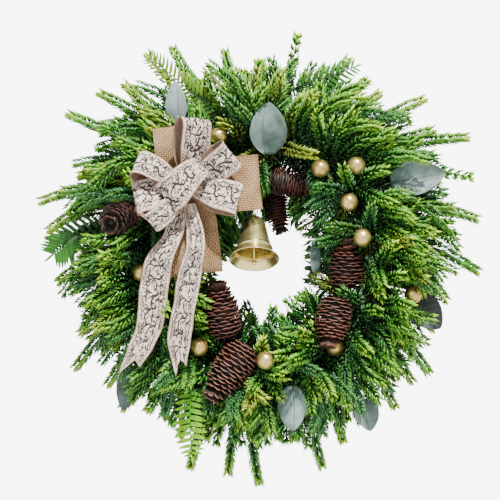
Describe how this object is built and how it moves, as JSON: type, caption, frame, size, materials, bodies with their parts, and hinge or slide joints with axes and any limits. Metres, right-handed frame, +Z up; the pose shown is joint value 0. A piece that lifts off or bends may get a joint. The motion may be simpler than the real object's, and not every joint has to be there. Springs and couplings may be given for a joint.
{
  "type": "christmas wreath",
  "caption": "Hanging round wreath of artificial evergreen sprays with pine cones, gold berries, leaves, fern fronds, a two-layer ribbon bow and a small bell in its hole.",
  "frame": {"origin": "inside of the top of the hanger loop, where the nail or hook bears", "axes": "+Z up, the wreath's front faces -Y, +X is to the right seen from the front"},
  "size_m": [0.4523, 0.1227, 0.461],
  "materials": {
    "needles": "moulded, satin",
    "green_fern": "moulded, satin",
    "olive_fern": "moulded, satin",
    "eucalyptus": "matt, printed veins",
    "cone": "dry, rough",
    "gold_berry": "gold lacquer",
    "burlap": "coarse open weave",
    "printed_ribbon": "plain weave, printed",
    "bell_metal": "brushed, slightly dulled",
    "vine": "rough bark",
    "green_wire": "enamelled"
  },
  "bodies": {
    "root": {"spray_01": "needles", "spray_02": "needles", "spray_03": "needles", "spray_04": "needles", "spray_05": "needles", "spray_06": "needles", "spray_07": "needles", "spray_08": "needles", "spray_09": "needles", "spray_10": "needles", "spray_11": "needles", "spray_12": "needles", "spray_13": "needles", "spray_14": "needles", "spray_15": "needles", "spray_16": "needles", "spray_17": "needles", "spray_18": "needles", "fern_1": "green_fern", "fern_2": "green_fern", "fern_3": "olive_fern", "fern_4": "olive_fern", "leaf_1": "eucalyptus", "leaf_2": "eucalyptus", "leaf_3": "eucalyptus", "leaf_4": "eucalyptus", "leaf_5": "eucalyptus", "leaf_6": "eucalyptus", "leaf_7": "eucalyptus", "leaf_8": "eucalyptus", "cone_1": "cone", "cone_2": "cone", "cone_3": "cone", "cone_4": "cone", "cone_5": "cone", "cone_6": "cone", "cone_7": "cone", "berry_01": "gold_berry", "berry_02": "gold_berry", "berry_03": "gold_berry", "berry_04": "gold_berry", "berry_05": "gold_berry", "berry_06": "gold_berry", "berry_07": "gold_berry", "berry_08": "gold_berry", "berry_09": "gold_berry", "berry_10": "gold_berry", "berry_11": "gold_berry", "burlap_bow": "burlap", "ribbon_bow": "printed_ribbon", "vine_ring": "vine", "hanger_loop": "green_wire", "bow_wire": "green_wire", "bell_wire": "green_wire"},
    "bell": {"bell": "bell_metal"},
    "clapper": {"clapper": "bell_metal"}
  },
  "joints": [
    {"name": "bell_swing", "type": "hinge", "parent": "root", "child": "bell", "pos_m": [-0.0084, -0.051, -0.09285], "axis": [1, 0, 0], "range_deg": [-25, 30]},
    {"name": "clapper_swing", "type": "hinge", "parent": "bell", "child": "clapper", "pos_m": [-0.0084, -0.05827, -0.10597], "axis": [1, 0, 0], "range_deg": [-44, 1]}
  ]
}
